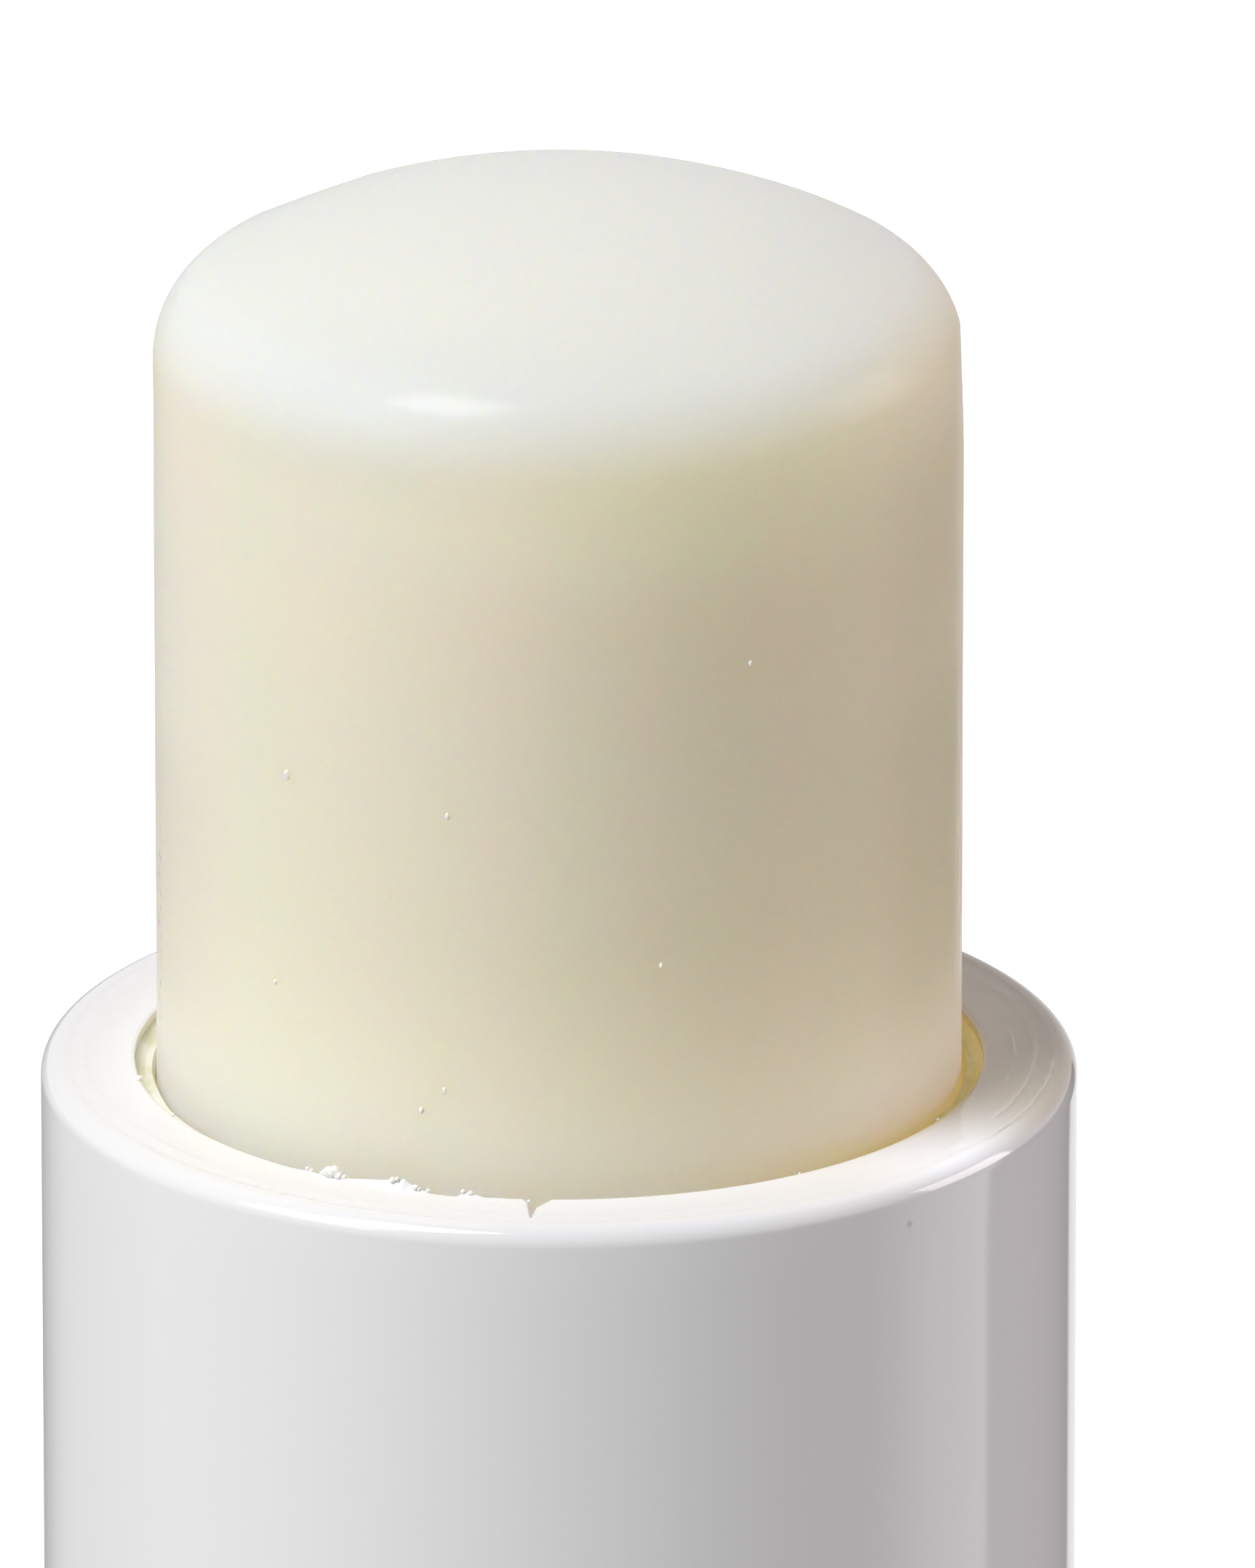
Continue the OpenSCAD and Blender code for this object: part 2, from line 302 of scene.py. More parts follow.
def new_group(name, inputs, outputs):
    """Starts a shader node group with named sockets, and returns it with its two end nodes."""
    group = bpy.data.node_groups.new(name, "ShaderNodeTree")
    for label, kind, default in inputs:
        socket = group.interface.new_socket(name=label, in_out="INPUT", socket_type=kind)
        socket.default_value = default
    for label, kind in outputs:
        group.interface.new_socket(name=label, in_out="OUTPUT", socket_type=kind)
    return group, group.nodes.new("NodeGroupInput"), group.nodes.new("NodeGroupOutput")


def use(tree, group, inputs=None):
    """Places a node group in a tree."""
    return add(tree, "ShaderNodeGroup", inputs, node_tree=group)


def once(name, build):
    """The node group of that name, built the first time that it is asked for."""
    return bpy.data.node_groups.get(name) or build(name)


VALUE, COLOUR = "NodeSocketFloat", "NodeSocketColor"


def build_round_place(name):
    """Place on the stick: millimetres, angle round the axis, radius and height."""
    group, start, end = new_group(name, [], [
        ("Place", "NodeSocketVector"), ("Angle", VALUE), ("Radius", VALUE), ("Height", VALUE)])
    spot = add(group, "ShaderNodeTexCoord").outputs["Object"]
    place = add(group, "ShaderNodeVectorMath", {0: spot, 1: (1 / MM,) * 3},
                operation="MULTIPLY").outputs[0]
    parts = add(group, "ShaderNodeSeparateXYZ", {0: place})
    x, y, z = parts.outputs
    angle = calc(group, "ARCTAN2", x, calc(group, "MULTIPLY", y, -1))
    squares = calc(group, "ADD", calc(group, "MULTIPLY", x, x), calc(group, "MULTIPLY", y, y))
    radius = calc(group, "SQRT", squares)
    group.links.new(place, end.inputs["Place"])
    group.links.new(calc(group, "DEGREES", angle), end.inputs["Angle"])
    group.links.new(radius, end.inputs["Radius"])
    group.links.new(z, end.inputs["Height"])
    return group


def build_patch(name):
    """Mask of a soft-edged patch between two angles and two heights."""
    group, start, end = new_group(name, [
        ("Angle", VALUE, 0), ("Height", VALUE, 0), ("Middle", VALUE, 0), ("Half Width", VALUE, 1),
        ("Low", VALUE, 0), ("High", VALUE, 1), ("Fade", VALUE, 0.2)], [("Mask", VALUE)])
    off = calc(group, "ABSOLUTE", calc(group, "SUBTRACT", start.outputs["Angle"], start.outputs["Middle"]))
    side = rise(group, off, start.outputs["Half Width"], 0)
    low, high, fade = (start.outputs[label] for label in ("Low", "High", "Fade"))
    height = start.outputs["Height"]
    above = rise(group, height, calc(group, "SUBTRACT", low, fade), calc(group, "ADD", low, fade))
    below = rise(group, height, calc(group, "ADD", high, fade), calc(group, "SUBTRACT", high, fade))
    level = calc(group, "MULTIPLY", above, below)
    group.links.new(calc(group, "MULTIPLY", side, level), end.inputs["Mask"])
    return group


def build_specks(name):
    """Mask of small scattered specks."""
    group, start, end = new_group(name, [
        ("Place", "NodeSocketVector", (0, 0, 0)), ("Per Millimetre", VALUE, 1), ("Size", VALUE, 0.1)],
        [("Mask", VALUE)])
    cells = add(group, "ShaderNodeTexVoronoi", {
        "Vector": start.outputs["Place"], "Scale": start.outputs["Per Millimetre"], "Randomness": 1})
    shape = noise_at(group, start.outputs["Place"], 9, 2)
    reach = calc(group, "MULTIPLY", start.outputs["Size"], calc(group, "ADD", shape, 0.5))
    spot = rise(group, cells.outputs["Distance"], reach, calc(group, "MULTIPLY", reach, 0.4))
    tint = add(group, "ShaderNodeSeparateColor", {0: cells.outputs["Color"]}).outputs[0]
    kept = calc(group, "GREATER_THAN", tint, 0.6)
    group.links.new(calc(group, "MULTIPLY", spot, kept), end.inputs["Mask"])
    return group


def build_mottle(name):
    """Two tints that drift into each other in tall soft streaks."""
    group, start, end = new_group(name, [
        ("Place", "NodeSocketVector", (0, 0, 0)), ("Tint A", COLOUR, (1, 1, 1, 1)),
        ("Tint B", COLOUR, (1, 1, 1, 1)), ("Scale", VALUE, 0.3), ("Stretch", VALUE, 4)],
        [("Color", COLOUR), ("Mask", VALUE)])
    squeeze = add(group, "ShaderNodeCombineXYZ", {
        0: 1, 1: 1, 2: calc(group, "DIVIDE", 1, start.outputs["Stretch"])})
    tall = add(group, "ShaderNodeVectorMath", {0: start.outputs["Place"], 1: squeeze.outputs[0]},
               operation="MULTIPLY").outputs[0]
    mask = rise(group, noise_at(group, tall, start.outputs["Scale"], 2), 0.36, 0.64)
    group.links.new(blend_colour(group, mask, start.outputs["Tint A"], start.outputs["Tint B"]),
                    end.inputs["Color"])
    group.links.new(mask, end.inputs["Mask"])
    return group


def build_hairlines(name):
    """Mask of fine hairline scratches that run mostly round the stick or mostly along it."""
    group, start, end = new_group(name, [
        ("Angle", VALUE, 0), ("Height", VALUE, 0), ("Round", VALUE, 1), ("Along", VALUE, 1),
        ("Few", VALUE, 0.7)], [("Mask", VALUE)])
    spread = add(group, "ShaderNodeCombineXYZ", {
        0: calc(group, "MULTIPLY", start.outputs["Angle"], start.outputs["Round"]),
        1: calc(group, "MULTIPLY", start.outputs["Height"], start.outputs["Along"])}).outputs[0]
    lines = noise_at(group, spread, 1, 2, 0.6)
    fine = calc(group, "ABSOLUTE", calc(group, "SUBTRACT", lines, 0.5))
    patchy = noise_at(group, spread, 0.11, 1)
    shown = rise(group, patchy, start.outputs["Few"], calc(group, "ADD", start.outputs["Few"], 0.12))
    group.links.new(calc(group, "MULTIPLY", rise(group, fine, 0.012, 0), shown), end.inputs["Mask"])
    return group


def round_place(tree):
    return use(tree, once("Round place", build_round_place)).outputs


def patch(tree, place, middle, half_width, low, high, fade=0.2):
    return use(tree, once("Patch", build_patch), {
        "Angle": place["Angle"], "Height": place["Height"], "Middle": middle, "Half Width": half_width,
        "Low": low, "High": high, "Fade": fade}).outputs[0]


def facing(tree, place, middle, outer, inner):
    """Mask of the side that faces an angle: 1 within inner degrees of it, and 0 past outer."""
    off = calc(tree, "ABSOLUTE", calc(tree, "SUBTRACT", place["Angle"], middle))
    return rise(tree, off, outer, inner)


def tinted(tree, place, colour, tints, within=1):
    """Multiplies a colour by soft-edged tints, inside a mask."""
    for *spot, tint in tints:
        mask = calc(tree, "MULTIPLY", patch(tree, place, *spot), within)
        colour = blend_colour(tree, mask, colour, (*tint, 1), "MULTIPLY")
    return colour


def specks(tree, place, per_mm, size):
    return use(tree, once("Fine specks", build_specks), {
        "Place": place["Place"], "Per Millimetre": per_mm, "Size": size}).outputs[0]


def mottle(tree, place, tint_a, tint_b, scale, stretch):
    return use(tree, once("Soft mottle", build_mottle), {
        "Place": place["Place"], "Tint A": (*tint_a, 1), "Tint B": (*tint_b, 1),
        "Scale": scale, "Stretch": stretch}).outputs


def hairlines(tree, place, around, along_axis, few):
    return use(tree, once("Hairlines", build_hairlines), {
        "Angle": place["Angle"], "Height": place["Height"], "Round": around, "Along": along_axis,
        "Few": few}).outputs[0]


def new_material(name):
    """A material with an empty tree, its output and a Principled BSDF."""
    material = bpy.data.materials.new(name)
    material.use_nodes = True
    tree = material.node_tree
    tree.nodes.clear()
    shader = add(tree, "ShaderNodeBsdfPrincipled")
    add(tree, "ShaderNodeOutputMaterial", {"Surface": shader.outputs[0]})
    return material, tree, shader


def feed(tree, shader, colour, roughness, height, depth):
    """Wires colour, roughness and a bump of a depth in millimetres to a Principled BSDF."""
    bump = add(tree, "ShaderNodeBump", {"Height": height, "Strength": 1, "Distance": depth * MM})
    tree.links.new(colour, shader.inputs["Base Color"])
    tree.links.new(roughness, shader.inputs["Roughness"])
    tree.links.new(bump.outputs[0], shader.inputs["Normal"])


def wax_glow(tree, place, sizes):
    """Light that the bore's white edge sends up inside the balm."""
    bottom = rise(tree, place["Height"], RIM_Z - 9, RIM_Z - 0.5)
    near = calc(tree, "MULTIPLY", rise(tree, place["Height"], RIM_Z + 4.2, RIM_Z - 0.2), bottom)
    far = calc(tree, "MULTIPLY", rise(tree, place["Height"], RIM_Z + 8, RIM_Z + 1), bottom)
    near_light = blend_colour(tree, near, (0, 0, 0, 1), (*sizes.near_glow, 1))
    far_light = blend_colour(tree, far, (0, 0, 0, 1), (*sizes.far_glow, 1))
    return blend_colour(tree, 1, near_light, far_light, "ADD")


def wax_material(sizes):
    """Cream balm: translucent, satin, with faint streaks and mould marks; the paler dome is painted light,
    the darker right side and edges are painted shade, and the torn patch carries a painted highlight.
    """
    material, tree, shader = new_material("Cream balm")
    place = round_place(tree)
    body = mottle(tree, place, sizes.warm_tint, sizes.green_tint, 0.45, 18)
    # Painted shade: the paler lit tip reaches a little less far down at the right, where the shoulder is
    # shaded
    lean = calc(tree, "MULTIPLY", facing(tree, place, 85, 55, 10), 0.6)
    tip = rise(tree, calc(tree, "SUBTRACT", place["Height"], lean), TIP_LOW, TIP_HIGH)
    colour = blend_colour(tree, tip, body["Color"], (*sizes.lit_top_colour, 1))
    # Green-grey grain where the skin rubbed the bore
    grain = rise(tree, noise_at(tree, place["Place"], 7, 3), 0.5, 0.7)
    rubbed = calc(tree, "MULTIPLY", patch(tree, place, *RUBBED_PATCH), grain)
    colour = blend_colour(tree, rubbed, colour, (*sizes.rubbed_colour, 1))
    dots = specks(tree, place, 0.5, 0.035)
    colour = blend_colour(tree, calc(tree, "MULTIPLY", dots, 0.5), colour, (*sizes.lit_top_colour, 1))
    # Painted light and shade: the balm is darkened on its shaded side and edges, and cooled higher up
    colour = tinted(tree, place, colour, BALM_PAINTED_SHADING)
    skin = noise_at(tree, place["Place"], 0.8, 2, 0.6)
    roughness = rise(tree, skin, 0.3, 0.7, sizes.roughness - 0.05, sizes.roughness + 0.05)
    # Torn, glossier patch: its roughness and bump are real, its paler colour is a painted highlight
    ragged = add(tree, "ShaderNodeCombineXYZ", {0: place["Angle"], 1: place["Height"]}).outputs[0]
    rags = rise(tree, noise_at(tree, ragged, 0.8, 2, 0.6), 0.4, 0.6)
    torn = calc(tree, "MULTIPLY", rags, patch(tree, place, *TORN_AND_HIGHLIGHT_PATCH))
    colour = blend_colour(tree, calc(tree, "MULTIPLY", torn, 0.55), colour, (*sizes.torn_highlight_colour, 1))
    roughness = calc(tree, "SUBTRACT", roughness, calc(tree, "MULTIPLY", torn, 0.18))
    height = calc(tree, "ADD", calc(tree, "MULTIPLY", skin, 0.5), calc(tree, "MULTIPLY", torn, 0.5))
    feed(tree, shader, colour, roughness, height, sizes.skin_depth)
    tree.links.new(wax_glow(tree, place, sizes), shader.inputs["Emission Color"])
    shader.inputs["Emission Strength"].default_value = 1
    shader.inputs["Subsurface Weight"].default_value = 1
    shader.inputs["Subsurface Radius"].default_value = sizes.scatter_tint
    shader.inputs["Subsurface Scale"].default_value = sizes.scatter * MM
    shader.inputs["IOR"].default_value = 1.44
    shader.inputs["Specular IOR Level"].default_value = 0.2
    shader.inputs["Coat Weight"].default_value = 0.15
    shader.inputs["Coat Roughness"].default_value = 0.18
    return material


def crumb_material(sizes):
    """Thin crumbs of balm, too small for light to get lost in."""
    material, tree, shader = new_material("Balm crumbs")
    place = round_place(tree)
    body = mottle(tree, place, (0.97, 0.97, 0.94), (0.94, 0.94, 0.88), 3, 1)
    grain = noise_at(tree, place["Place"], 6, 3)
    feed(tree, shader, body["Color"], rise(tree, grain, 0.3, 0.7, 0.25, 0.4), grain, 0.02)
    shader.inputs["IOR"].default_value = 1.44
    return material


def residue_material(sizes):
    """Balm smeared in the gap below the rim, with a painted glow: pale on one side, golden and lit through
    on the other, where the golden colour is painted light through the balm.
    """
    material, tree, shader = new_material("Bore residue")
    place = round_place(tree)
    # Painted light: the golden side stands for light through the balm, in colour and glow
    golden = facing(tree, place, 95, 85, 40)
    pale = mottle(tree, place, sizes.residue_pale, (0.65, 0.65, 0.52), 0.8, 1)
    colour = blend_colour(tree, golden, pale["Color"], (*sizes.residue_lit_through, 1))
    grain = noise_at(tree, place["Place"], 3, 3)
    feed(tree, shader, colour, rise(tree, grain, 0.3, 0.7, 0.35, 0.5), grain, 0.02)
    glow = blend_colour(tree, golden, (*sizes.glow_pale, 1), (*sizes.glow_golden, 1))
    tree.links.new(glow, shader.inputs["Emission Color"])
    shader.inputs["Emission Strength"].default_value = 1
    shader.inputs["IOR"].default_value = 1.44
    return material


def plastic_material(name, colour_a, colour_b, roughness, scratch_amount, extra=None):
    """Moulded polypropylene: glossy, with faint flow tints, hairlines and dust specks."""
    material, tree, shader = new_material(name)
    place = round_place(tree)
    colour = mottle(tree, place, colour_a, colour_b, 0.18, 3)["Color"]
    dust = specks(tree, place, 0.33, 0.03)
    colour = blend_colour(tree, calc(tree, "MULTIPLY", dust, 0.45), colour, (0.45, 0.44, 0.43, 1))
    rubs = hairlines(tree, place, 0.5, 0.06, 0.56)
    swirls = hairlines(tree, place, 0.03, 3, 0.6)
    marks = calc(tree, "MAXIMUM", rubs, swirls)
    waviness = noise_at(tree, place["Place"], 0.16, 1)
    gloss = calc(tree, "ADD", rise(tree, waviness, 0.3, 0.7, roughness * 0.85, roughness * 1.15),
                 calc(tree, "MULTIPLY", marks, scratch_amount))
    if extra:
        colour, gloss = extra(tree, place, colour, gloss)
    feed(tree, shader, colour, gloss, waviness, 0.01)
    shader.inputs["IOR"].default_value = 1.49
    return material


def barrel_material(sizes):
    """White barrel plastic, with balm residue down the bore and fine arcs on the rim. It also carries
    painted light and shade: golden light through the balm at the bore's right edge, the balm's shadow in
    brown on the rim's right, and tints on the rim top.
    """
    def residue(tree, place, colour, gloss):
        by_bore = rise(tree, place["Radius"], BORE_R + 0.7, BORE_R + 0.05)
        colour = blend_colour(tree, by_bore, colour, (*sizes.edge_colour, 1))
        # Painted light: golden light through the balm, drawn on the bore's edge at the right
        at_edge = rise(tree, place["Radius"], BORE_R + 0.2, BORE_R + 0.02)
        through_light_edge = calc(tree, "MULTIPLY", at_edge, facing(tree, place, 90, 45, 20))
        colour = blend_colour(tree, through_light_edge, colour, (*sizes.through_light_colour, 1))
        inside = rise(tree, place["Radius"], BORE_R + 0.03, BORE_R - 0.01)
        below = rise(tree, place["Height"], RIM_Z, RIM_Z - 0.25)
        film = calc(tree, "MULTIPLY", inside, below)
        colour = blend_colour(tree, film, colour, (*sizes.residue_colour, 1))
        on_rim = rise(tree, place["Height"], RIM_Z - 0.2, RIM_Z - 0.05)
        # Painted shadow: the balm's cast shadow on the right of the rim top, drawn brownish
        smeared = calc(tree, "MULTIPLY", on_rim, facing(tree, place, 115, 62, 38))
        colour = blend_colour(tree, smeared, colour, (*sizes.balm_shadow_colour, 1))
        # Painted light and shade on the rim top
        colour = tinted(tree, place, colour, RIM_PAINTED_SHADING, on_rim)
        arcs = hairlines(tree, {"Angle": place["Radius"], "Height": place["Angle"]}, 9, 0.02, 0.5)
        arcs = calc(tree, "MULTIPLY", arcs, on_rim)
        gloss = calc(tree, "ADD", gloss, calc(tree, "MULTIPLY", film, 0.2))
        return colour, calc(tree, "ADD", gloss, calc(tree, "MULTIPLY", arcs, 0.12))
    return plastic_material("Barrel plastic", sizes.colour, sizes.shade, sizes.roughness, 0.12, residue)


def bullet_outline():
    """Half section of the bullet, from the roof of its screw hole round to the top of the dome."""
    roof_z = BALM_HIGH.z - SCREW_HOLE_ROOF
    edge_r = BALM_R - DOME_EDGE_R
    slope = math.degrees(math.asin(edge_r / (DOME_R - DOME_EDGE_R)))
    side_top = BALM_HIGH.z - DOME_R + (DOME_R - DOME_EDGE_R) * math.cos(math.radians(slope))
    tail_r = BALM_R - TAIL_STEP
    tail_top = BALM_LOW.z + CUP_DEPTH
    hole = arc(0, roof_z, SCREW_HOLE_R, 90, 0, 12)
    tail = [(SCREW_HOLE_R, BALM_LOW.z), (tail_r, BALM_LOW.z), (tail_r, tail_top), (BALM_R, tail_top)]
    side = [(BALM_R, z) for z in steps(tail_top, side_top, 70)[1:-1]]
    edge = arc(edge_r, side_top, DOME_EDGE_R, 0, 90 - slope, 24)
    dome = arc(0, BALM_HIGH.z - DOME_R, DOME_R, 90 - slope, 90, 40)[1:]
    return hole + tail + side + edge + dome


# Flats rubbed on the dome: the angle they face, their tilt from level, and how deep they cut
DOME_FLATS = [(-133, 27.2, 0.05), (128, 33, 0.03), (-90, 58, 0.03), (90, 88, 0.05)]


def flat_planes():
    """Normal and reach of each rubbed flat."""
    outline = bullet_outline()
    planes = []
    for facing, tilt, cut in DOME_FLATS:
        turn, lean = math.radians(facing), math.radians(tilt)
        normal = Vector((math.sin(turn) * math.sin(lean), -math.cos(turn) * math.sin(lean), math.cos(lean)))
        reach = max(radius * math.sin(lean) + height * math.cos(lean) for radius, height in outline)
        planes.append((normal, reach - cut))
    return planes


def bullet_shaper():
    """The function that moves each point of the bullet: a faint unevenness, and the rubbed flats."""
    planes = flat_planes()

    def shape(radius, height, angle):
        spot = polar(radius, angle, height) / MM
        if height < RIM_Z - 2 or radius < 0.001:
            return spot
        out = Vector((spot.x, spot.y, 0)).normalized()
        if height > BALM_HIGH.z - 3:
            out = (spot - Vector((0, 0, BALM_HIGH.z - DOME_R))).normalized()
        spot -= out * 0.012 * (0.5 + 0.5 * noise.noise(spot * 0.35)) * ease(RIM_Z - 2, RIM_Z + 2, height)
        for normal, reach in planes:
            over = normal.dot(spot) - reach
            if over > 0 and height > BALM_HIGH.z - 5:
                spot -= normal * over
        spot.z = min(spot.z, BALM_HIGH.z)
        return spot
    return shape


def barrel_outline():
    """Closed half section of the barrel, up the outside and down the bore."""
    foot = [(BORE_R + LEAD_IN, BARREL_Z)]
    low_edge = arc(GRIP_R - GRIP_ROUND, BARREL_Z + GRIP_ROUND, GRIP_ROUND, -90, 0, 8)
    grip = [(GRIP_R, z) for z in steps(BARREL_Z + GRIP_ROUND, SHOULDER_Z - GRIP_ROUND, 12)[1:-1]]
    shoulder = arc(GRIP_R - GRIP_ROUND, SHOULDER_Z - GRIP_ROUND, GRIP_ROUND, 0, 90, 8)
    bead_x, bead_z = NECK_R + CAP_BEAD_OUT - CAP_BEAD_R, SHOULDER_Z + CAP_BEAD_UP
    half = math.degrees(math.acos((CAP_BEAD_R - CAP_BEAD_OUT) / CAP_BEAD_R))
    bead = arc(bead_x, bead_z, CAP_BEAD_R, -half, half, 10)
    neck_low = [(NECK_R, SHOULDER_Z)]
    neck = [(NECK_R, z) for z in steps(bead[-1][1], RIM_Z - RIM_ROUND, 10)[1:-1]]
    fillet = arc(NECK_R - RIM_ROUND, RIM_Z - RIM_ROUND, RIM_ROUND, 0, 80, 14)
    # Across the rim: a faint slope, a raised witness ring, a fine groove and the bore's edge
    rim = [(7.53, -0.003), (7.5, 0), (7.47, -0.002), (7.42, -0.003), (7.34, -0.003), (7.28, -0.001),
           (7.24, 0), (7.2, 0.001), (7.16, 0), (7.08, 0), (6.95, 0), (6.92, 0), (6.89, 0.001),
           (6.86, 0), (6.82, 0), (6.7, 0), (6.6, 0), (6.52, 0), (6.49, -0.002), (6.46, -0.006),
           (BORE_R, -0.03)]
    rim = [(r, RIM_Z + up) for r, up in rim]
    keyway_top = SHOULDER_Z - KEYWAY_ROOF
    bore = [(BORE_R, z) for z in (RIM_Z - 0.12, RIM_Z - 0.3, RIM_Z - 0.45, RIM_Z - 1, RIM_Z - 3, RIM_Z - 8)]
    bore += [(BORE_R, keyway_top + 0.01), (BORE_R, keyway_top - 0.01)]
    snap_z = WHEEL_LOW.z + WHEEL_H + SNAP_UP
    half_h = math.sqrt(SNAP_R ** 2 - (BORE_R - SNAP_X) ** 2)
    tilt = math.degrees(math.asin(half_h / SNAP_R))
    bore += [(BORE_R, z) for z in steps(keyway_top - 0.01, snap_z + half_h, 8)[1:-1]]
    groove = arc(SNAP_X, snap_z, SNAP_R, tilt, -tilt, 8)
    return (foot + low_edge + grip + shoulder + neck_low + bead + neck + fillet + rim + bore + groove
            + [(BORE_R, BARREL_Z + LEAD_IN)])


def barrel_angles():
    """Columns of the barrel: close together at the worn front, with a pair at each keyway's flanks."""
    angles = steps(-38, 0, 250) + steps(0, 322, 268)[1:-1]
    half = math.degrees(KEYWAY_W / 2 / (BORE_R + KEYWAY_DEPTH / 2))
    for i in range(KEY_COUNT):
        middle = 360 * (i + 0.5) / KEY_COUNT
        for flank in (middle - half, middle + half):
            turned = flank if flank < 322 else flank - 360
            angles += [turned - 0.05, turned + 0.05]
    return sorted(angles)


def barrel_shape(radius, height, angle):
    """Moves a point of the barrel: keyways in the bore, the rim's burrs and nick, ragged rings."""
    keyway_top = SHOULDER_Z - KEYWAY_ROOF
    half = math.degrees(KEYWAY_W / 2 / (BORE_R + KEYWAY_DEPTH / 2))
    from_key = abs((angle + 360) % (360 / KEY_COUNT) - 180 / KEY_COUNT)
    if radius <= SNAP_X + SNAP_R + 0.01 and height < keyway_top and from_key < half:
        radius = BORE_R + KEYWAY_DEPTH
    if height > RIM_Z - 0.5 and radius < NECK_R - RIM_ROUND + 0.01:
        out = radius - BORE_R
        burr = along(EDGE_BURRS, angle) * max(0, 1 - out / BURR_W)
        if height < RIM_Z - 0.05:
            burr *= ease(RIM_Z - 0.5, RIM_Z, height)
        nick = max(0, along(EDGE_NICK, angle) - out * NICK_CLIMB)
        floor = RIM_Z - nick
        turned = angle if angle <= 180 else angle - 360
        worn = 0.006 * noise.noise(Vector((angle * 0.9, radius * 6, 0))) if out > 0.1 else 0
        for ring, first, last, lift in RIM_RIDGES:
            if abs(radius - ring) < 0.015:
                near = ease(first, first + 5, turned) * ease(last, last - 5, turned)
                worn += lift * near * (0.55 + 0.9 * noise.noise(Vector((turned * 0.7, ring, 5))))
        height = min(height + burr + worn, max(floor, height - 0.4) if nick else height + burr + worn)
    return Vector((radius, height))


def residue_outline():
    """Closed half section of the balm smeared in the gap below the rim."""
    inner, outer = BALM_R + 0.02, BORE_R - 0.003
    top = RIM_Z - RESIDUE_DROP
    return [(inner, top - 2), (inner, top - 0.08), (inner + 0.05, top), ((inner + outer) / 2, top - 0.03),
            (outer - 0.05, top + 0.02), (outer, top + 0.07), (outer, top - 2)]


def residue_shape(radius, height, angle):
    """Moves a point of the residue: its surface is uneven, and it lies lower under the nick."""
    if height > RIM_Z - RESIDUE_DROP - 1:
        height += 0.07 * noise.noise(Vector((angle * 0.12, radius * 2, 3)))
        height -= 0.3 * max(0, 1 - abs(angle + 3) / 4)
    return Vector((radius, height))


def lump(mesh_work, place, size, seed, flat=1):
    """Adds one small irregular lump to a bmesh."""
    made = bmesh.ops.create_icosphere(mesh_work, subdivisions=3, radius=size * MM)
    for vert in made["verts"]:
        rough = noise.noise(vert.co / (size * MM) * 1.4 + Vector((seed * 7.3, 0, 0)))
        vert.co *= 1 + 0.35 * rough
        vert.co.z *= flat
        vert.co += place


# Crumbs of balm on the bore's edge: angle, height above the rim, radius of the crumb
EDGE_CRUMBS = [(-32, 0.07, 0.1), (-31.2, 0.1, 0.09), (-30.6, 0.05, 0.08), (-33.1, 0.02, 0.05),
               (-32.7, 0.05, 0.06), (-35.6, 0.04, 0.035), (-34.9, 0.03, 0.03), (-29.8, 0.03, 0.045),
               (-22.6, 0.12, 0.045), (-21.9, 0.15, 0.035), (-19.3, 0.05, 0.05), (-18.8, 0.03, 0.035),
               (-17.5, 0.02, 0.035), (-12.7, 0.06, 0.035), (-11.7, 0.04, 0.045), (-3.9, -0.04, 0.025),
               (34, 0, 0.02), (62, 0.01, 0.03), (-64, 0.02, 0.03), (-79, 0.02, 0.05)]
# Flakes stuck to the side of the bullet: angle, height above the rim, size
SIDE_FLAKES = [(-41.6, 6.05, 0.05), (-15.7, 5.85, 0.035), (-19.6, 1.15, 0.04), (-16.2, 1.5, 0.035),
               (14.6, 3.5, 0.03), (-44, 2.7, 0.03), (28, 8.1, 0.03), (133, 4.4, 0.05), (-160, 6.7, 0.05)]


